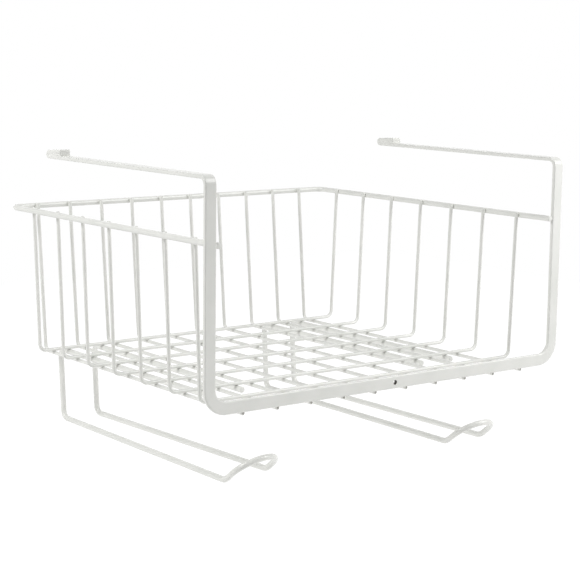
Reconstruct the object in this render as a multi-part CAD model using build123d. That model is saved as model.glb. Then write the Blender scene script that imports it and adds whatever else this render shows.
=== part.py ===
from build123d import *
import os

# Under shelf basket of welded steel wire, powder coated white.
# One flat bar is bent into the front frame and its two hanger arms, which lie on the shelf board.
# A thick rim wire is welded between the uprights, seven cross wires make the side walls and floor,
# ten lengthwise wires make the floor and rear wall, and two thick under rails hold a flat board below.
# Frame of the part: X to the right, Y to the rear, Z up. The under rails stand on Z = 0.
# The origin is the middle of the footprint, on the surface that the rails stand on.
# All sizes are millimetres. Places called back are measured rearwards from the front face of the
# flat bar, and places called up from the lower edge of the bar.

# Flat bar of the front frame
FRAME_WIDTH = 420.0
FRAME_HEIGHT = 203.0
BAR_WIDTH = 11.5
BAR_THICKNESS = 3.6
BAR_EDGE_RADIUS = 1.1
FRAME_CORNER_RADIUS = 23.0
ARM_LENGTH = 265.0
ARM_BEND_RADIUS = 5.0
FOLD_LENGTH = 24.0
FOLD_INNER_RADIUS = 0.3
FOLD_STRAIGHT = 0.2
FOLD_FLARE = 1.4
HOLE_DIAMETER = 4.2

# Wires, and how they meet: the gap left where two touch, and how deep a wire sinks into the bar
THICK_WIRE = 5.5
THIN_WIRE = 3.5
WELD_GAP = 0.05
WELD_SINK = 0.9

# Rim
RIM_UP = 144.0
RIM_CORNER_RADIUS = 10.0
RIM_END_BACK = 0.6

# Cross wires, the side walls and floor
CROSS_COUNT = 7
CROSS_FIRST_BACK = 42.0
CROSS_PITCH = 47.0
FLOOR_INSET = 24.0
CROSS_BEND_RADIUS = 7.0

# Lengthwise wires, the floor and rear wall
LENGTHWISE_COUNT = 10
LENGTHWISE_END_BACK = 0.8
REAR_FOOT_GAP = 18.0
REAR_WALL_LEAN = 18.0
MAT_MARGIN = 20.4
LENGTHWISE_BEND_RADIUS = 7.0
MAT_OFFSET = -4.0

# Under rails
RAIL_WIRE_NUMBER = 1
RAIL_SPREAD = 1.1
RAIL_DROP = 72.0
RAIL_TOP_GAP = 0.5
RAIL_LEG_LEAN = 5.5
RAIL_BEND_RADIUS = 8.0
RAIL_END_CROSS_NUMBER = 1
RAIL_END_OVERHANG = 9.0
LIP_LENGTH = 26.0
LIP_RISE = 20.7
LIP_SPREAD = 3.0
LIP_FLAT = 1.0
LIP_BEND_RADIUS = 14.0
LEFT_LIP_BACK = 46.8
RIGHT_LIP_BACK = 39.2
LEFT_RAIL_TWIST = 3.7

# Places worked out from the sizes above
floor_half_width = FRAME_WIDTH / 2 - FLOOR_INSET
lengthwise_pitch = 2 * (floor_half_width - MAT_MARGIN) / (LENGTHWISE_COUNT - 1)
rail_width = lengthwise_pitch + 2 * RAIL_SPREAD
lip_width = rail_width + 2 * LIP_SPREAD
lip_radius = (lip_width - LIP_FLAT) / 2
last_cross_back = CROSS_FIRST_BACK + CROSS_PITCH * (CROSS_COUNT - 1)
rear_foot_back = last_cross_back + REAR_FOOT_GAP
rim_rear_back = rear_foot_back + REAR_WALL_LEAN
rail_top_back = rear_foot_back + RAIL_TOP_GAP
rail_foot_back = rail_top_back - RAIL_LEG_LEAN
rear_limit = rim_rear_back + THICK_WIRE / 2
footprint_middle = rear_limit / 2
bar_bottom = RAIL_DROP + THICK_WIRE / 2
upright_x = FRAME_WIDTH / 2 - BAR_WIDTH / 2
rim_x = FRAME_WIDTH / 2 - BAR_WIDTH - WELD_GAP - THICK_WIRE / 2
wall_top_up = RIM_UP + THICK_WIRE / 2
lengthwise_up = WELD_SINK - WELD_GAP - THIN_WIRE / 2
cross_up = lengthwise_up + THIN_WIRE + WELD_GAP
rail_run_up = cross_up - THIN_WIRE / 2 - WELD_GAP - THICK_WIRE / 2
rim_to_wall = THICK_WIRE / 2 + WELD_GAP + THIN_WIRE / 2


def place(x, back, up):
    """A point from its place across, behind the bar's front face and above its lower edge."""
    return Vector(x, back - footprint_middle, bar_bottom + up)


def cross_back(number):
    """How far behind the bar's front face a cross wire lies, counted from the front."""
    return CROSS_FIRST_BACK + CROSS_PITCH * number


def lengthwise_x(number):
    """How far across a lengthwise wire lies, counted from the left."""
    return MAT_OFFSET + lengthwise_pitch * (number - (LENGTHWISE_COUNT - 1) / 2)


def carry(section, points, radii):
    """A section carried along a path of straight runs joined by tangent arcs."""
    path = FilletPolyline(*points, radius=radii)
    start = Plane(origin=points[0], x_dir=(1, 0, 0), z_dir=path % 0)
    return sweep(start * section, path=path)


def carry_round(diameter, points, radii):
    """A round wire of this diameter along a path."""
    path = FilletPolyline(*points, radius=radii)
    start = Plane(origin=points[0], z_dir=path % 0)
    return sweep(start * Circle(diameter / 2), path=path)


def front_hanger_frame():
    """The flat bar: folded arm tip, arm, upright, front bar, upright, arm and folded arm tip."""
    fold_radius = FOLD_INNER_RADIUS + BAR_THICKNESS / 2
    arm_up = FRAME_HEIGHT - BAR_THICKNESS / 2
    fold_up = arm_up + 2 * fold_radius + FOLD_STRAIGHT
    tip_back = ARM_LENGTH - BAR_THICKNESS / 2
    bar_back = BAR_THICKNESS / 2
    left_side = [
        place(-upright_x, tip_back - FOLD_LENGTH, fold_up + FOLD_FLARE),
        place(-upright_x, tip_back, fold_up),
        place(-upright_x, tip_back, arm_up),
        place(-upright_x, bar_back, arm_up),
        place(-upright_x, bar_back, BAR_WIDTH / 2),
    ]
    right_side = [Vector(-point.X, point.Y, point.Z) for point in reversed(left_side)]
    arm_bend = ARM_BEND_RADIUS + BAR_THICKNESS / 2
    corner = FRAME_CORNER_RADIUS - BAR_WIDTH / 2
    side_radii = [fold_radius, fold_radius, arm_bend, corner]
    section = RectangleRounded(BAR_WIDTH, BAR_THICKNESS, BAR_EDGE_RADIUS)
    bar = carry(section, left_side + right_side, side_radii + side_radii[::-1])
    hole_middle = place(0, bar_back, BAR_WIDTH / 2)
    drill = Plane(origin=hole_middle, z_dir=(0, 1, 0))
    bar -= drill * Cylinder(HOLE_DIAMETER / 2, 2 * BAR_THICKNESS)
    for number in range(LENGTHWISE_COUNT):
        seat_middle = place(lengthwise_x(number), bar_back, lengthwise_up)
        seat = Plane(origin=seat_middle, z_dir=(0, 1, 0))
        bar -= seat * Cylinder(THIN_WIRE / 2 + WELD_GAP, 2 * BAR_THICKNESS)
    return bar


def rim_wire():
    """The thick wire round the top: left side, rear and right side, open at the front."""
    points = [
        place(-rim_x, RIM_END_BACK, RIM_UP),
        place(-rim_x, rim_rear_back, RIM_UP),
        place(rim_x, rim_rear_back, RIM_UP),
        place(rim_x, RIM_END_BACK, RIM_UP),
    ]
    return carry_round(THICK_WIRE, points, RIM_CORNER_RADIUS)


def cross_wire(number):
    """A thin wire down the left wall, over the floor and up the right wall."""
    back = cross_back(number)
    top_x = rim_x - rim_to_wall
    points = [
        place(-top_x, back, wall_top_up),
        place(-floor_half_width, back, cross_up),
        place(floor_half_width, back, cross_up),
        place(top_x, back, wall_top_up),
    ]
    return carry_round(THIN_WIRE, points, CROSS_BEND_RADIUS)


def lengthwise_wire(number):
    """A thin wire from under the front bar along the floor and up the rear wall."""
    x = lengthwise_x(number)
    points = [
        place(x, LENGTHWISE_END_BACK, lengthwise_up),
        place(x, rear_foot_back, lengthwise_up),
        place(x, rim_rear_back - rim_to_wall, wall_top_up),
    ]
    return carry_round(THIN_WIRE, points, LENGTHWISE_BEND_RADIUS)


def under_rail(wire_number, lip_back, twist):
    """A thick wire under one lengthwise wire: down at the rear, forward, a lip, and back again.

    Lip back is where the lip starts to rise. Twist is how much higher the right-hand wire lies there.
    """
    middle = lengthwise_x(wire_number)
    run = [
        (rail_width / 2, cross_back(RAIL_END_CROSS_NUMBER) - RAIL_END_OVERHANG, rail_run_up),
        (rail_width / 2, rail_top_back, rail_run_up),
        (rail_width / 2, rail_foot_back, -RAIL_DROP),
    ]
    lip = [
        (lip_width / 2, lip_back, -RAIL_DROP),
        (lip_width / 2, lip_back - LIP_LENGTH, LIP_RISE - RAIL_DROP),
    ]
    left = [place(middle - across, back, up) for across, back, up in run + lip]
    right = [place(middle + across, back, up) for across, back, up in run]
    right += [place(middle + across, back, up + twist) for across, back, up in lip]
    radii = [RAIL_BEND_RADIUS, RAIL_BEND_RADIUS, LIP_BEND_RADIUS, lip_radius]
    return carry_round(THICK_WIRE, left + right[::-1], radii + radii[::-1])


os.makedirs("parts", exist_ok=True)
export_step(front_hanger_frame(), "parts/front_hanger_frame.step")
export_step(rim_wire(), "parts/rim_wire.step")
for number in range(CROSS_COUNT):
    export_step(cross_wire(number), f"parts/cross_wire_{number + 1}.step")
for number in range(LENGTHWISE_COUNT):
    export_step(lengthwise_wire(number), f"parts/lengthwise_wire_{number + 1}.step")
left_rail_number = RAIL_WIRE_NUMBER
right_rail_number = LENGTHWISE_COUNT - 1 - RAIL_WIRE_NUMBER
left_rail = under_rail(left_rail_number, LEFT_LIP_BACK, LEFT_RAIL_TWIST)
right_rail = under_rail(right_rail_number, RIGHT_LIP_BACK, 0)
export_step(left_rail, "parts/left_under_rail.step")
export_step(right_rail, "parts/right_under_rail.step")
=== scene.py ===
import math

import bpy
import numpy as np
from mathutils import Matrix, Vector


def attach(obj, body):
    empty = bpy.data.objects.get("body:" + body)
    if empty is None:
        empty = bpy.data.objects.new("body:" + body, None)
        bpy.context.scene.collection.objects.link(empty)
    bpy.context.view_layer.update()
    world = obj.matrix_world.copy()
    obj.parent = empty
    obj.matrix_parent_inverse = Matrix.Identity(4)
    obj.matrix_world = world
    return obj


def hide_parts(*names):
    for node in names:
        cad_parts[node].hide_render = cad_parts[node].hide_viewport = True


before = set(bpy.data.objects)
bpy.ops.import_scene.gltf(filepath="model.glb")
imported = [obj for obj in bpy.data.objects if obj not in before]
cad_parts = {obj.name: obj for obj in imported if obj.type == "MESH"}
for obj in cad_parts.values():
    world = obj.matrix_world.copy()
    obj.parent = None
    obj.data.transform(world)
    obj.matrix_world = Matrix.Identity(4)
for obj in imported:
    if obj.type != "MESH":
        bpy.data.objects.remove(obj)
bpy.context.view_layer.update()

# The under shelf basket as it looks: drawn steel wire and flat bar, spot welded and powder coated white.
# Lengths are metres in the part's own frame: X to the right, Y to the rear, Z up. The under rails stand on
# Z = 0. MM turns the millimetres of the part's drawing into metres.
MM = 0.001
ACROSS = np.array([1.0, 0.0, 0.0])
REARWARD = np.array([0.0, 1.0, 0.0])

# Sizes of the part, as in its drawing. Places called back are measured rearwards from the front face of the
# flat bar, and places called up from the lower edge of the bar.
FRAME_WIDTH = 420 * MM
FRAME_HEIGHT = 203 * MM
BAR_WIDTH = 11.5 * MM
BAR_THICKNESS = 3.6 * MM
BAR_EDGE_RADIUS = 1.1 * MM
FRAME_CORNER_RADIUS = 23 * MM
ARM_LENGTH = 265 * MM
ARM_BEND_RADIUS = 5 * MM
FOLD_LENGTH = 24 * MM
FOLD_INNER_RADIUS = 0.3 * MM
FOLD_STRAIGHT = 0.2 * MM
FOLD_FLARE = 1.4 * MM
HOLE_DIAMETER = 4.2 * MM
THICK_WIRE = 5.5 * MM
THIN_WIRE = 3.5 * MM
WELD_GAP = 0.05 * MM
WELD_SINK = 0.9 * MM
RIM_UP = 144 * MM
RIM_CORNER_RADIUS = 10 * MM
RIM_END_BACK = 0.6 * MM
CROSS_COUNT = 7
CROSS_FIRST_BACK = 42 * MM
CROSS_PITCH = 47 * MM
CROSS_BEND_RADIUS = 7 * MM
FLOOR_HALF_WIDTH = 186 * MM
LENGTHWISE_COUNT = 10
LENGTHWISE_PITCH = 36.8 * MM
LENGTHWISE_END_BACK = 0.8 * MM
LENGTHWISE_BEND_RADIUS = 7 * MM
REAR_FOOT_BACK = 342 * MM
RIM_REAR_BACK = 360 * MM
MAT_OFFSET = -4 * MM
RAIL_WIRE_NUMBER = 1
RAIL_WIDTH = 39 * MM
RAIL_DROP = 72 * MM
RAIL_TOP_BACK = 342.5 * MM
RAIL_FOOT_BACK = 337 * MM
RAIL_BEND_RADIUS = 8 * MM
RAIL_END_BACK = 80 * MM
LIP_LENGTH = 26 * MM
LIP_RISE = 20.7 * MM
LIP_WIDTH = 45 * MM
LIP_RADIUS = 22 * MM
LIP_BEND_RADIUS = 14 * MM
LEFT_LIP_BACK = 46.8 * MM
RIGHT_LIP_BACK = 39.2 * MM
LEFT_RAIL_TWIST = 3.7 * MM

# Places worked out from them, as in the drawing
footprint_middle = (RIM_REAR_BACK + THICK_WIRE / 2) / 2
bar_bottom = RAIL_DROP + THICK_WIRE / 2
upright_x = FRAME_WIDTH / 2 - BAR_WIDTH / 2
rim_x = FRAME_WIDTH / 2 - BAR_WIDTH - WELD_GAP - THICK_WIRE / 2
wall_top_up = RIM_UP + THICK_WIRE / 2
lengthwise_up = WELD_SINK - WELD_GAP - THIN_WIRE / 2
cross_up = lengthwise_up + THIN_WIRE + WELD_GAP
rail_run_up = cross_up - THIN_WIRE / 2 - WELD_GAP - THICK_WIRE / 2
rim_to_wall = THICK_WIRE / 2 + WELD_GAP + THIN_WIRE / 2
top_x = rim_x - rim_to_wall
rear_wall_back = RIM_REAR_BACK - rim_to_wall

# How finely the surfaces are laid out, and by what share of its radius a cut end is rounded. No wire starts
# along the slanting direction, so each wire's first side is worked out from it.
RING_SIDES = 28
ARC_STEP = math.radians(5)
RUN_STEP = 14 * MM
SLANTING = (0.31, 0.87, 0.39)
END_STEPS = 5
END_ROUND_SHARE = 0.35
EDGE_STEPS = 7
EDGE_SUPPORT = 0.15 * MM
WELD_SIDES = 12
WELD_ROWS = 4
BEAD_SIDES = 12
BEAD_ROWS = 7

# Screw hole: its rounded edge, the flat ring and the square patch round it, and its first dark row of faces
HOLE_SIDES = 32
HOLE_EDGE_ROUND = 0.25 * MM
HOLE_RING = 0.5 * MM
HOLE_PATCH = 5 * MM
HOLE_PATCH_GAP = 3.5 * MM
HOLE_DARK_ROW = 3

# Welds: shares of the thinner wire's radius at the foot and the neck, how deep the feet are sunk, and the
# shares between which the darkness of a neck lies, a painted shade of the crevice between the crossing
# wires, partly a thin coat there
WELD_FOOT = 0.86
OPEN_NECK = 0.62
FULL_NECK = 0.82
WELD_BURY = 0.03 * MM
FLOOR_THIN_COAT_AND_SHADE_SHARES = (0.0, 0.35)
RAIL_THIN_COAT_AND_SHADE_SHARES = (0.2, 0.8)
CHANCE_SEED = 7

# Beads at the ends of the rim, and the coat in the crease of each folded arm tip
BEAD_RADII = (1.1 * MM, 1.5 * MM, 2.3 * MM)
BEAD_BACK = 1.9 * MM
CREASE_LENGTH = 22.4 * MM
CREASE_INSET = 0.2 * MM
CREASE_THICKNESS = 2.6 * MM
CREASE_ROUND = 0.3 * MM


def place(x, back, up):
    """A point from its place across, behind the bar's front face and above its lower edge."""
    return np.array([x, back - footprint_middle, bar_bottom + up])


def cross_back(number):
    """How far behind the bar's front face a cross wire lies, counted from the front."""
    return CROSS_FIRST_BACK + CROSS_PITCH * number


def lengthwise_x(number):
    """How far across a lengthwise wire lies, counted from the left."""
    return MAT_OFFSET + LENGTHWISE_PITCH * (number - (LENGTHWISE_COUNT - 1) / 2)


def unit(vector):
    """The vector divided by its own length."""
    return vector / np.linalg.norm(vector)


def bent_line(corners, radii):
    """Points and directions along straight runs joined by arcs that touch both runs.

    At a corner that turns by an angle, the arc starts radius x tan(angle / 2) before it. A point of the
    arc at angle a is start + radius x (sin a x incoming + (1 - cos a) x inward), where inward is the part
    of the outgoing direction that is square to the incoming one.
    """
    corners = np.array(corners, float)
    points = [corners[0]]
    ways = [unit(corners[1] - corners[0])]
    for corner, before, after, radius in zip(corners[1:-1], corners[:-2], corners[2:], radii):
        incoming = unit(corner - before)
        outgoing = unit(after - corner)
        turn = math.acos(np.clip(incoming @ outgoing, -1, 1))
        inward = unit(outgoing - incoming * (incoming @ outgoing))
        start = corner - incoming * radius * math.tan(turn / 2)
        angle = np.linspace(0, turn, max(3, math.ceil(turn / ARC_STEP) + 1))[:, None]
        run = straight(points[-1], start)
        points.extend(run)
        ways.extend([incoming] * len(run))
        points.extend(start + radius * (np.sin(angle) * incoming + (1 - np.cos(angle)) * inward))
        ways.extend(np.cos(angle) * incoming + np.sin(angle) * inward)
    last = unit(corners[-1] - corners[-2])
    run = straight(points[-1], corners[-1])
    points.extend(run)
    ways.extend([last] * len(run))
    points.append(corners[-1])
    ways.append(last)
    return np.array(points), np.array(ways)


def straight(first, second):
    """Points between two ends of a straight run, without the ends, about one run step apart."""
    count = int(np.linalg.norm(second - first) / RUN_STEP)
    share = (np.arange(count) + 1) / (count + 1)
    return list(first + (second - first) * share[:, None])


def add_mesh(name, points, faces):
    """A smooth shaded object at the origin from arrays of points and faces."""
    mesh = bpy.data.meshes.new(name)
    mesh.from_pydata(points.tolist(), [], faces)
    mesh.polygons.foreach_set("use_smooth", np.ones(len(mesh.polygons), bool))
    mesh.update()
    piece = bpy.data.objects.new(name, mesh)
    bpy.context.scene.collection.objects.link(piece)
    return piece


def grid_faces(rows, columns):
    """Four-sided faces between neighbouring rows of a grid whose columns close into a ring."""
    row, column = np.meshgrid(np.arange(rows - 1), np.arange(columns), indexing="ij")
    right = (column + 1) % columns
    corners = np.stack([row * columns + column, row * columns + right,
                        (row + 1) * columns + right, (row + 1) * columns + column], axis=-1)
    return corners.reshape(-1, 4)


def end_faces(columns, last_row, near_centre, far_centre):
    """Triangles that close the first and the last row of such a grid, each on the centre of its end."""
    every = np.arange(columns)
    following = (every + 1) % columns
    near = np.stack([np.full(columns, near_centre), following, every], axis=1)
    far = np.stack([np.full(columns, far_centre), last_row + every, last_row + following], axis=1)
    return near, far


def add_shells(name, shells, columns):
    """One mesh of many closed shells. Each has rows of so many columns, and then the centres of its ends."""
    count, size = shells.shape[:2]
    rows = (size - 2) // columns
    start = np.arange(count)[:, None, None] * size
    sides = (grid_faces(rows, columns)[None] + start).reshape(-1, 4)
    ends = np.concatenate(end_faces(columns, (rows - 1) * columns, size - 2, size - 1))
    ends = (ends[None] + start).reshape(-1, 3)
    return add_mesh(name, shells.reshape(-1, 3), sides.tolist() + ends.tolist())


def swept(points, ways, outline, end_round, first_side):
    """Rings of an outline carried along a line, with cut ends that the coat has rounded.

    A ring point is centre + across x side + through x over. The side vector is carried along the line
    without twist: at each step it loses its part along the new direction. Over is direction x side. Near
    each end the outline shrinks by end_round x (1 - sin a) at a depth of end_round x (1 - cos a), a quarter
    circle. The last ring closes on its centre. Returns the points, with the two centres last, the ring
    faces by row and column, and the faces of the near and the far end.
    """
    quarter = np.linspace(0, math.pi / 2, END_STEPS)
    depth = end_round * (1 - np.cos(quarter))[:, None]
    inset = end_round * (1 - np.sin(quarter))
    line = np.vstack([points[0] + ways[0] * depth, points[1:-1], (points[-1] - ways[-1] * depth)[::-1]])
    direction = np.vstack([np.repeat(ways[:1], END_STEPS, axis=0), ways[1:-1],
                           np.repeat(ways[-1:], END_STEPS, axis=0)])
    insets = np.concatenate([inset, np.zeros(len(points) - 2), inset[::-1]])
    side = np.empty_like(direction)
    side[0] = first_side
    for step in range(1, len(direction)):
        side[step] = unit(side[step - 1] - direction[step] * (direction[step] @ side[step - 1]))
    over = np.cross(direction, side)
    flat = np.stack([outline(value) for value in insets])
    ring = line[:, None] + flat[..., :1] * side[:, None] + flat[..., 1:] * over[:, None]
    rows, columns = flat.shape[:2]
    count = rows * columns
    near, far = end_faces(columns, count - columns, count, count + 1)
    return np.vstack([ring.reshape(-1, 3), line[:1], line[-1:]]), grid_faces(rows, columns), near, far


def wire(name, corners, radii, diameter, dark_end=False):
    """A drawn wire: a circle swept along a bent line. A dark end puts the near cut face on material 1."""
    points, ways = bent_line(corners, radii)
    radius = diameter / 2
    angle = np.arange(RING_SIDES) / RING_SIDES * 2 * math.pi
    circle = np.stack([np.cos(angle), np.sin(angle)], axis=1)
    first_side = unit(np.cross(ways[0], SLANTING))
    vertices, faces, near, far = swept(
        points, ways, lambda inset: (radius - inset) * circle, END_ROUND_SHARE * radius, first_side)
    piece = add_mesh(name, vertices, faces.tolist() + near.tolist() + far.tolist())
    if dark_end:
        slots = np.zeros(len(faces) + 2 * RING_SIDES, np.int32)
        slots[len(faces):len(faces) + RING_SIDES] = 1
        piece.data.polygons.foreach_set("material_index", slots)
    return piece


def flat_outline(full_width, full_thickness, full_radius, inset):
    """A flat section drawn in by an inset: four rounded edges, and two points on each flat.

    An edge point is edge centre + r x (cos a, sin a). The flats are held flat by a point close to each end.
    """
    width, thickness = full_width / 2 - inset, full_thickness / 2 - inset
    radius = full_radius - inset
    run_across, run_through = width - radius, thickness - radius
    outline = []
    for number, (across, through) in enumerate(((1, 1), (-1, 1), (-1, -1), (1, -1))):
        angle = (number + np.linspace(0, 1, EDGE_STEPS)) * math.pi / 2
        outline.append(np.stack([across * run_across + radius * np.cos(angle),
                                 through * run_through + radius * np.sin(angle)], axis=1))
        if number % 2 == 0:
            near = run_across - EDGE_SUPPORT
            outline.append(np.array([[across * near, through * thickness],
                                     [-across * near, through * thickness]]))
        else:
            near = run_through - EDGE_SUPPORT
            outline.append(np.array([[across * width, through * near],
                                     [across * width, -through * near]]))
    return np.vstack(outline)


def patch_round_hole(corners, ring):
    """Triangles between a four-cornered patch and a ring, both counter-clockwise seen from outside.

    A quarter of the ring belongs to each corner, and one triangle stands on each side of the patch.
    """
    faces = []
    quarter = len(ring) // 4
    for number, corner in enumerate(corners):
        for step in range(number * quarter, (number + 1) * quarter):
            faces.append([corner, ring[(step + 1) % len(ring)], ring[step]])
        faces.append([corner, corners[(number + 1) % 4], ring[(number + 1) * quarter % len(ring)]])
    return faces


def hanger_bar(name):
    """The flat bar swept from one folded arm tip to the other, with a hole through its front run.

    The hole is turned about its own axis: its outline runs from a ring on the front face round a quarter
    circle into the bore, and out again to a ring on the rear face.
    """
    fold_radius = FOLD_INNER_RADIUS + BAR_THICKNESS / 2
    arm_up = FRAME_HEIGHT - BAR_THICKNESS / 2
    fold_up = arm_up + 2 * fold_radius + FOLD_STRAIGHT
    tip_back = ARM_LENGTH - BAR_THICKNESS / 2
    bar_back = BAR_THICKNESS / 2
    left = [(tip_back - FOLD_LENGTH, fold_up + FOLD_FLARE), (tip_back, fold_up), (tip_back, arm_up),
            (bar_back, arm_up), (bar_back, BAR_WIDTH / 2)]
    corners = [place(-upright_x, back, up) for back, up in left]
    corners += [place(upright_x, back, up) for back, up in left[::-1]]
    arm_bend = ARM_BEND_RADIUS + BAR_THICKNESS / 2
    frame_corner = FRAME_CORNER_RADIUS - BAR_WIDTH / 2
    side_radii = [fold_radius, fold_radius, arm_bend, frame_corner]
    points, ways = bent_line(corners, side_radii + side_radii[::-1])
    before = points[:, 0] < -HOLE_PATCH - HOLE_PATCH_GAP
    after = points[:, 0] > HOLE_PATCH + HOLE_PATCH_GAP
    beside = np.array([place(side * HOLE_PATCH, bar_back, BAR_WIDTH / 2) for side in (-1, 1)])
    points = np.vstack([points[before], beside, points[after]])
    ways = np.vstack([ways[before], ACROSS, ACROSS, ways[after]])
    vertices, faces, near, far = swept(
        points, ways, lambda inset: flat_outline(BAR_WIDTH, BAR_THICKNESS, BAR_EDGE_RADIUS, inset),
        END_ROUND_SHARE * BAR_THICKNESS / 2, ACROSS)
    # The row of rings that the hole lies between, and the columns at the ends of the two wide flats
    row = np.count_nonzero(before) + END_STEPS - 1
    columns = 4 * (EDGE_STEPS + 2)
    front = EDGE_STEPS
    rear = 3 * EDGE_STEPS + 4
    gone = [row * columns + front, row * columns + rear]
    faces = np.delete(faces, gone, axis=0)
    start = len(vertices)
    turn = math.pi / 2 + np.arange(HOLE_SIDES) / HOLE_SIDES * 2 * math.pi
    round_off = np.linspace(0, math.pi / 2, END_STEPS)
    radius = HOLE_DIAMETER / 2
    rounded = radius + HOLE_EDGE_ROUND * (1 - np.sin(round_off))
    outward = np.concatenate([[radius + HOLE_RING], rounded])
    inward = np.concatenate([[0], HOLE_EDGE_ROUND * (1 - np.cos(round_off))])
    outward = np.concatenate([outward, outward[::-1]])
    depth = np.concatenate([inward, BAR_THICKNESS - inward[::-1]])
    hole = np.stack(np.broadcast_arrays(outward[:, None] * np.cos(turn), depth[:, None],
                                        outward[:, None] * np.sin(turn)), axis=-1)
    hole_middle = place(0, 0, BAR_WIDTH / 2)
    vertices = np.vstack([vertices, (hole + hole_middle).reshape(-1, 3)])
    bore = grid_faces(len(outward), HOLE_SIDES) + start
    ring = np.arange(HOLE_SIDES)
    front_ring = (start + ring).tolist()
    last_ring = start + (len(outward) - 1) * HOLE_SIDES
    rear_ring = (last_ring + (HOLE_SIDES // 2 - ring) % HOLE_SIDES).tolist()
    patches = []
    for column, edge in ((front, front_ring), (rear, rear_ring)):
        here, there = row * columns + column, (row + 1) * columns + column
        patches += patch_round_hole([here, here + 1, there + 1, there], edge)
    whole = faces.tolist() + near.tolist() + far.tolist() + patches
    piece = add_mesh(name, vertices, whole + bore.tolist())
    inside = np.zeros(len(whole) + len(bore), np.int32)
    bore_row = np.arange(len(outward) - 1).repeat(HOLE_SIDES)
    inside[len(whole):] = (bore_row >= HOLE_DARK_ROW) & (bore_row < len(outward) - 1 - HOLE_DARK_ROW)
    piece.data.polygons.foreach_set("material_index", inside)
    return piece


def crossing_welds(name, first, second, neck, necks_thin_coat_and_shade):
    """Fillets of weld and coat between pairs of wires that cross and all but touch.

    First and second each hold a point on the wires' axes, their directions and their radii. The nearest
    points of the two axes give the normal n from the first wire to the second, and the gap between them.
    In the direction d, turned round n, a place at a distance rho from the middle lies rho x |d x way| off a
    wire's axis, where its surface has fallen away by r - sqrt(r^2 - offset^2). The fillet runs from the one
    surface to the other in even steps s of height, and rho = neck + (foot - neck) x (2 s - 1)^2 draws it in
    to a neck halfway. Each end closes on a point sunk into its wire. Neck is a share of the thinner wire's
    radius, and necks_thin_coat_and_shade gives how dark each neck is painted: a painted shade of the crevice
    between the wires, partly a thin coat there.
    """
    (one, one_way, one_radius), (two, two_way, two_radius) = first, second
    apart = one - two
    turned = np.sum(one_way * two_way, axis=1, keepdims=True)
    along_one = np.sum(one_way * apart, axis=1, keepdims=True)
    along_two = np.sum(two_way * apart, axis=1, keepdims=True)
    one = one + (turned * along_two - along_one) / (1 - turned ** 2) * one_way
    two = two + (along_two - turned * along_one) / (1 - turned ** 2) * two_way
    between = two - one
    distance = np.linalg.norm(between, axis=1, keepdims=True)
    normal = between / distance
    middle = one + normal * (distance + one_radius - two_radius) / 2
    half_gap = (distance - one_radius - two_radius) / 2
    beside = np.cross(normal, one_way)
    angle = np.arange(WELD_SIDES) / WELD_SIDES * 2 * math.pi
    way = np.cos(angle)[None, :, None] * one_way[:, None] + np.sin(angle)[None, :, None] * beside[:, None]
    thinner = np.minimum(one_radius, two_radius)
    foot = WELD_FOOT * thinner
    off_one = foot * np.abs(np.sin(angle))
    off_two = foot * np.linalg.norm(np.cross(way, two_way[:, None]), axis=2)
    low = -half_gap - one_radius + np.sqrt(one_radius ** 2 - off_one ** 2) - WELD_BURY
    high = half_gap + two_radius - np.sqrt(two_radius ** 2 - off_two ** 2) + WELD_BURY
    share = np.linspace(0, 1, WELD_ROWS)[None, :, None]
    height = low[:, None] * (1 - share) + high[:, None] * share
    reach = thinner[:, None] * (neck + (WELD_FOOT - neck) * (2 * share - 1) ** 2)
    ring = middle[:, None, None] + reach[..., None] * way[:, None] + height[..., None] * normal[:, None, None]
    inner = np.stack([middle + normal * low.min(axis=1, keepdims=True),
                      middle + normal * high.max(axis=1, keepdims=True)], axis=1)
    shells = np.concatenate([ring.reshape(len(one), -1, 3), inner], axis=1)
    piece = add_shells(name, shells, WELD_SIDES)
    # Each neck is painted darker towards its waist: a painted shade of the crevice between the wires, partly
    # a thin coat there
    depth = np.zeros(shells.shape[:2])
    waist = 1 - (2 * np.linspace(0, 1, WELD_ROWS) - 1) ** 2
    depth[:, :-2] = np.repeat(waist, WELD_SIDES)[None] * necks_thin_coat_and_shade[:, None]
    thin_coat_and_shade = piece.data.attributes.new("thin_coat_and_shade", "FLOAT", "POINT")
    thin_coat_and_shade.data.foreach_set("value", depth.ravel())
    return piece


def axis_lines(points, ways, diameter):
    """Points, unit directions and radii of wires' axes, as columns."""
    ways = np.broadcast_to(ways, points.shape)
    ways = ways / np.linalg.norm(ways, axis=1, keepdims=True)
    return points, ways, np.full((len(points), 1), diameter / 2)


def egg_beads(name, middles, radii):
    """Weld beads as eggs: middle + (rx cos u cos v, ry sin u cos v, rz sin v), closed at both poles."""
    around = np.arange(BEAD_SIDES) / BEAD_SIDES * 2 * math.pi
    up = np.linspace(-math.pi / 2, math.pi / 2, BEAD_ROWS)[1:-1]
    level_out = np.cos(up)[:, None]
    shell = np.stack(np.broadcast_arrays(np.cos(around) * level_out, np.sin(around) * level_out,
                                         np.sin(up)[:, None]), axis=-1).reshape(-1, 3)
    shell = np.vstack([shell, [[0, 0, -1], [0, 0, 1]]]) * radii
    return add_shells(name, middles[:, None] + shell, BEAD_SIDES)


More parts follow.
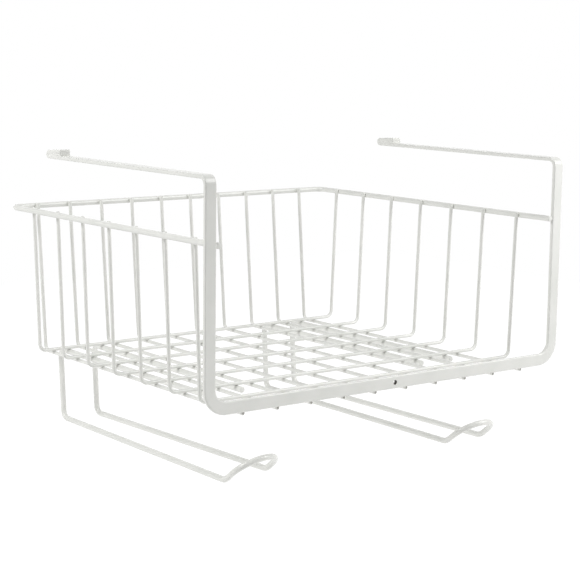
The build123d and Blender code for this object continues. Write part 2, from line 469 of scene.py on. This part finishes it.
# Flat bar and wires
wires = {"front_hanger_frame": hanger_bar("front_hanger_frame_coated")}
rim_corners = [place(-rim_x, RIM_END_BACK, RIM_UP), place(-rim_x, RIM_REAR_BACK, RIM_UP),
               place(rim_x, RIM_REAR_BACK, RIM_UP), place(rim_x, RIM_END_BACK, RIM_UP)]
wires["rim_wire"] = wire("rim_coated", rim_corners, [RIM_CORNER_RADIUS] * 2, THICK_WIRE)
for number in range(CROSS_COUNT):
    back = cross_back(number)
    corners = [place(-top_x, back, wall_top_up), place(-FLOOR_HALF_WIDTH, back, cross_up),
               place(FLOOR_HALF_WIDTH, back, cross_up), place(top_x, back, wall_top_up)]
    wires[f"cross_wire_{number + 1}"] = wire(
        f"cross_wire_coated_{number + 1}", corners, [CROSS_BEND_RADIUS] * 2, THIN_WIRE)
for number in range(LENGTHWISE_COUNT):
    x = lengthwise_x(number)
    corners = [place(x, LENGTHWISE_END_BACK, lengthwise_up), place(x, REAR_FOOT_BACK, lengthwise_up),
               place(x, rear_wall_back, wall_top_up)]
    wires[f"lengthwise_wire_{number + 1}"] = wire(
        f"lengthwise_wire_coated_{number + 1}", corners, [LENGTHWISE_BEND_RADIUS], THIN_WIRE,
        dark_end=True)
rails = {
    "left_under_rail": (RAIL_WIRE_NUMBER, LEFT_LIP_BACK, LEFT_RAIL_TWIST),
    "right_under_rail": (LENGTHWISE_COUNT - 1 - RAIL_WIRE_NUMBER, RIGHT_LIP_BACK, 0),
}
for name, (number, lip_back, twist) in rails.items():
    middle = lengthwise_x(number)
    run = [(RAIL_WIDTH / 2, RAIL_END_BACK, rail_run_up), (RAIL_WIDTH / 2, RAIL_TOP_BACK, rail_run_up),
           (RAIL_WIDTH / 2, RAIL_FOOT_BACK, -RAIL_DROP)]
    lip = [(LIP_WIDTH / 2, lip_back, -RAIL_DROP),
           (LIP_WIDTH / 2, lip_back - LIP_LENGTH, LIP_RISE - RAIL_DROP)]
    left = [place(middle - across, back, up) for across, back, up in run + lip]
    right = [place(middle + across, back, up) for across, back, up in run]
    right += [place(middle + across, back, up + twist) for across, back, up in lip]
    radii = [RAIL_BEND_RADIUS, RAIL_BEND_RADIUS, LIP_BEND_RADIUS, LIP_RADIUS]
    wires[name] = wire(name + "_coated", left + right[::-1], radii + radii[::-1], THICK_WIRE)

# Welds where wires cross: over the floor, on the rails, and along the sides and rear of the rim
chance = np.random.default_rng(CHANCE_SEED)
sides, crosses, lengths = (-1, 1), range(CROSS_COUNT), range(LENGTHWISE_COUNT)
floor_low = np.array([place(lengthwise_x(n), cross_back(c), lengthwise_up) for c in crosses for n in lengths])
floor_high = floor_low + [0, 0, cross_up - lengthwise_up]
rail_low = np.array([place(lengthwise_x(number) + side * RAIL_WIDTH / 2, cross_back(c), rail_run_up)
                     for number, _, _ in rails.values() for side in sides for c in crosses[1:]])
rail_high = rail_low + [0, 0, cross_up - rail_run_up]
rim_side = np.array([place(side * rim_x, cross_back(c), RIM_UP) for side in sides for c in crosses])
wall_top = np.array([place(side * top_x, cross_back(c), wall_top_up) for side in sides for c in crosses])
wall_foot = np.array([place(side * FLOOR_HALF_WIDTH, cross_back(c), cross_up)
                      for side in sides for c in crosses])
rim_rear = np.array([place(lengthwise_x(n), RIM_REAR_BACK, RIM_UP) for n in lengths])
rear_top = np.array([place(lengthwise_x(n), rear_wall_back, wall_top_up) for n in lengths])
rear_foot = np.array([place(lengthwise_x(n), REAR_FOOT_BACK, lengthwise_up) for n in lengths])
# How dark each weld neck is painted, drawn at random: a painted shade of the crevice, partly a thin coat
# there
floor_thin_coat_and_shade = chance.uniform(*FLOOR_THIN_COAT_AND_SHADE_SHARES, len(floor_low))
rail_thin_coat_and_shade = chance.uniform(*RAIL_THIN_COAT_AND_SHADE_SHARES, len(rail_low))
welds = [
    crossing_welds("floor_welds", axis_lines(floor_low, REARWARD, THIN_WIRE),
                   axis_lines(floor_high, ACROSS, THIN_WIRE), OPEN_NECK, floor_thin_coat_and_shade),
    crossing_welds("rail_welds", axis_lines(rail_low, REARWARD, THICK_WIRE),
                   axis_lines(rail_high, ACROSS, THIN_WIRE), OPEN_NECK, rail_thin_coat_and_shade),
    crossing_welds("rim_side_welds", axis_lines(rim_side, REARWARD, THICK_WIRE),
                   axis_lines(wall_top, wall_top - wall_foot, THIN_WIRE), FULL_NECK, np.zeros(len(rim_side))),
    crossing_welds("rim_rear_welds", axis_lines(rim_rear, ACROSS, THICK_WIRE),
                   axis_lines(rear_top, rear_top - rear_foot, THIN_WIRE), FULL_NECK, np.zeros(len(rim_rear))),
]

# The coat fills the crease of each folded arm tip: a flat strip swept forward from the inside of the fold
crease_up = FRAME_HEIGHT + FOLD_INNER_RADIUS + FOLD_STRAIGHT / 2
crease_rise = FOLD_FLARE / 2 * CREASE_LENGTH / FOLD_LENGTH
crease_back = ARM_LENGTH - BAR_THICKNESS
crease_width = BAR_WIDTH - 2 * CREASE_INSET
creases = []
for side, name in ((-1, "left_crease_coat"), (1, "right_crease_coat")):
    x = side * upright_x
    ends = [place(x, crease_back, crease_up),
            place(x, crease_back - CREASE_LENGTH, crease_up + crease_rise)]
    points, ways = bent_line(ends, [])
    vertices, faces, near, far = swept(
        points, ways, lambda inset: flat_outline(crease_width, CREASE_THICKNESS, 2 * CREASE_ROUND, inset),
        CREASE_ROUND, ACROSS)
    creases.append(add_mesh(name, vertices, faces.tolist() + near.tolist() + far.tolist()))

# Weld beads at the two ends of the rim
rim_ends = np.array([place(side * (rim_x + THICK_WIRE / 2), BEAD_BACK, RIM_UP) for side in sides])
beads = egg_beads("rim_end_beads", rim_ends, np.array(BEAD_RADII))


def linear(hex_colour):
    """Linear light from an sRGB hex colour."""
    channels = np.array([int(hex_colour[k:k + 2], 16) for k in (0, 2, 4)]) / 255
    low = channels / 12.92
    high = ((channels + 0.055) / 1.055) ** 2.4
    return (*np.where(channels <= 0.04045, low, high).tolist(), 1.0)


def node(tree, kind, settings=None, links=None):
    """Adds a node, sets its properties and unlinked sockets, and links the others."""
    made = tree.nodes.new(kind)
    for key, value in (settings or {}).items():
        if isinstance(key, str) and hasattr(made, key):
            setattr(made, key, value)
        else:
            made.inputs[key].default_value = value
    for key, source in (links or {}).items():
        tree.links.new(source, made.inputs[key])
    return made


# Looks of the coat: faint orange peel with swells about 1.6 mm apart, and a slow drift of tone and gloss
# over about 26 mm
PEEL_PER_METRE = 620.0
PEEL_DISTANCE = 0.04 * MM
PEEL_STRENGTH = 0.05
DRIFT_PER_METRE = 38.0
DRIFT_TONE_SHARES = (0.3, 0.7)
# The third tone is the painted shade in the crevices of the weld necks, partly a thin coat there
DEEP_TONE, PALE_TONE, THIN_COAT_AND_SHADE_TONE = "DFE0DB", "E6E6E2", "4F4D49"
COAT_ROUGHNESS = (0.18, 0.26)
COAT_IOR = 1.5
BORE_TONE, CUT_END_TONE = "696863", "9C9A94"
DULL_ROUGHNESS = 0.6


def bare_material(name):
    """A material with an empty node tree."""
    material = bpy.data.materials.new(name)
    material.use_nodes = True
    material.node_tree.nodes.clear()
    return material


def powder_coat(name, thin_coat_and_shade_necks):
    """White polyester powder coat, oven cured: a hard gloss film with a faint orange peel.

    On the welds it paints the neck of each fillet dark, as far as the thin_coat_and_shade value says: a
    painted shade of the crevice between the wires, partly a thin coat there.
    """
    material = bare_material(name)
    tree = material.node_tree
    place_on = node(tree, "ShaderNodeTexCoord").outputs["Object"]
    peel = node(tree, "ShaderNodeTexNoise",
                {"Scale": PEEL_PER_METRE, "Detail": 2.0, "Roughness": 0.5}, {"Vector": place_on})
    drift = node(tree, "ShaderNodeTexNoise",
                 {"Scale": DRIFT_PER_METRE, "Detail": 3.0, "Roughness": 0.55}, {"Vector": place_on})
    tone = node(tree, "ShaderNodeValToRGB", {}, {"Fac": drift.outputs["Fac"]})
    for stop, share, hex_colour in zip(tone.color_ramp.elements, DRIFT_TONE_SHARES, (DEEP_TONE, PALE_TONE)):
        stop.position = share
        stop.color = linear(hex_colour)
    bump = node(tree, "ShaderNodeBump", {"Strength": PEEL_STRENGTH, "Distance": PEEL_DISTANCE},
                {"Height": peel.outputs["Fac"]})
    rough = node(tree, "ShaderNodeMapRange", {"To Min": COAT_ROUGHNESS[0], "To Max": COAT_ROUGHNESS[1]},
                 {"Value": drift.outputs["Fac"]})
    colour = tone.outputs["Color"]
    # Painted shade in the crevices of the weld necks, partly a thin coat there
    if thin_coat_and_shade_necks:
        thin_coat_and_shade = node(tree, "ShaderNodeAttribute", {"attribute_name": "thin_coat_and_shade"})
        colour = node(tree, "ShaderNodeMix", {"data_type": "RGBA", "B": linear(THIN_COAT_AND_SHADE_TONE)},
                      {"Factor": thin_coat_and_shade.outputs["Fac"], "A": colour}).outputs["Result"]
    shader = node(tree, "ShaderNodeBsdfPrincipled", {"IOR": COAT_IOR, "Metallic": 0.0},
                  {"Base Color": colour, "Roughness": rough.outputs["Result"],
                   "Normal": bump.outputs["Normal"]})
    node(tree, "ShaderNodeOutputMaterial", {}, {"Surface": shader.outputs["BSDF"]})
    return material


def dull_grey(name, hex_colour):
    """A dull and dark grey: for the middle rows of the bore and the near cut ends of the lengthwise wires."""
    material = bare_material(name)
    tree = material.node_tree
    shader = node(tree, "ShaderNodeBsdfPrincipled",
                  {"Base Color": linear(hex_colour), "Roughness": DULL_ROUGHNESS, "Metallic": 0.0})
    node(tree, "ShaderNodeOutputMaterial", {}, {"Surface": shader.outputs["BSDF"]})
    return material


coat = powder_coat("white_powder_coat", False)
weld_coat = powder_coat("white_powder_coat_on_welds_thin_and_shaded", True)
bore_dark_grey = dull_grey("dark_grey_bore", BORE_TONE)
cut_end_grey = dull_grey("grey_cut_end", CUT_END_TONE)
for replaced, piece in wires.items():
    piece.data.materials.append(coat)
    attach(piece, "root")
    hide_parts(replaced)
# The middle rows of the bore and the near cut ends of the lengthwise wires get a dull grey, darker than the
# coat
wires["front_hanger_frame"].data.materials.append(bore_dark_grey)
for number in range(LENGTHWISE_COUNT):
    wires[f"lengthwise_wire_{number + 1}"].data.materials.append(cut_end_grey)
for piece in welds + creases + [beads]:
    piece.data.materials.append(weld_coat if piece in welds else coat)
    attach(piece, "root")

# Studio: white surround and paper floor, a high soft lamp on either side and a near one to the right. The
# surround looks white and lights the basket faintly. The paper glows like a light table, which lights the
# undersides of the wires, and glows a little more where it is seen. The lamps add a little to it, of which
# the basket's shadow takes a part away.
WHITE = (1.0, 1.0, 1.0, 1.0)
SURROUND_FILL = 0.15
FLOOR_HALF = 1.0
PAPER_SHADE = (0.15, 0.15, 0.15, 1.0)
PAPER_GLOW_AS_LIGHT = 0.87
PAPER_GLOW_AS_SEEN = 0.945


def seen_directly(tree):
    """A value that is 1 for what the camera sees directly or in a reflection, and 0 for other light."""
    rays = node(tree, "ShaderNodeLightPath")
    seen = node(tree, "ShaderNodeMath", {"operation": "MAXIMUM"},
                {0: rays.outputs["Is Camera Ray"], 1: rays.outputs["Is Glossy Ray"]})
    return seen.outputs["Value"]


world = bpy.data.worlds.new("studio")
bpy.context.scene.world = world
world.use_nodes = True
tree = world.node_tree
tree.nodes.clear()
fill = node(tree, "ShaderNodeBackground", {"Color": WHITE, "Strength": SURROUND_FILL})
white = node(tree, "ShaderNodeBackground", {"Color": WHITE, "Strength": 1.0})
both = node(tree, "ShaderNodeMixShader", {},
            {0: seen_directly(tree), 1: fill.outputs["Background"], 2: white.outputs["Background"]})
node(tree, "ShaderNodeOutputWorld", {}, {"Surface": both.outputs["Shader"]})

floor_points = np.array([[-FLOOR_HALF, -FLOOR_HALF, 0], [FLOOR_HALF, -FLOOR_HALF, 0],
                         [FLOOR_HALF, FLOOR_HALF, 0], [-FLOOR_HALF, FLOOR_HALF, 0]])
floor = add_mesh("studio_floor", floor_points, [[0, 1, 2, 3]])
paper = bare_material("white_paper_floor")
tree = paper.node_tree
strength = node(tree, "ShaderNodeMapRange", {"To Min": PAPER_GLOW_AS_LIGHT, "To Max": PAPER_GLOW_AS_SEEN},
                {"Value": seen_directly(tree)})
shade = node(tree, "ShaderNodeBsdfDiffuse", {"Color": PAPER_SHADE})
glow = node(tree, "ShaderNodeEmission", {"Color": WHITE}, {"Strength": strength.outputs["Result"]})
shown = node(tree, "ShaderNodeAddShader", {}, {0: shade.outputs["BSDF"], 1: glow.outputs["Emission"]})
node(tree, "ShaderNodeOutputMaterial", {}, {"Surface": shown.outputs["Shader"]})
floor.data.materials.append(paper)


def soft_lamp(name, position, target, size, power):
    """A square soft lamp at a place, pointing at a target."""
    light = bpy.data.lights.new(name, "AREA")
    light.shape = "SQUARE"
    light.size = size
    light.energy = power
    lamp = bpy.data.objects.new(name, light)
    away = (Vector(position) - Vector(target)).to_track_quat("Z", "Y")
    lamp.matrix_world = Matrix.Translation(position) @ away.to_matrix().to_4x4()
    bpy.context.scene.collection.objects.link(lamp)


soft_lamp("left_lamp", position=(-1.301, 0.229, 1.19), target=(0, 0, 0.12), size=0.7, power=17.8)
soft_lamp("right_lamp", position=(0.934, -0.934, 1.19), target=(0, 0, 0.12), size=1.0, power=17.2)
soft_lamp("right_near_lamp", position=(0.85, -0.8, 0.35), target=(0.15, -0.18, 0.15), size=0.6, power=2.1)

# Camera, fitted to the photograph: turned round the basket, raised, rolled a little. Sensor and lens are in
# millimetres.
TURN = math.radians(-37.527)
RISE = math.radians(8.831)
ROLL = math.radians(0.728)
EYE = (-0.95848, -1.27052, 0.3892)
SENSOR_WIDTH = 36
LENS = 100.86
FARTHEST_SEEN = 30
behind = Vector((math.sin(TURN) * math.cos(RISE), -math.cos(TURN) * math.cos(RISE), math.sin(RISE)))
level = Vector((math.cos(TURN), math.sin(TURN), 0))
upward = behind.cross(level)
right = level * math.cos(ROLL) + upward * math.sin(ROLL)
top = upward * math.cos(ROLL) - level * math.sin(ROLL)
eye_data = bpy.data.cameras.new("camera")
eye_data.sensor_width = SENSOR_WIDTH
eye_data.lens = LENS
eye_data.clip_end = FARTHEST_SEEN
camera = bpy.data.objects.new("camera", eye_data)
turned = Matrix((right, top, behind)).transposed().to_4x4()
camera.matrix_world = Matrix.Translation(EYE) @ turned
bpy.context.scene.collection.objects.link(camera)
bpy.context.scene.camera = camera
bpy.context.scene.view_settings.view_transform = "Standard"
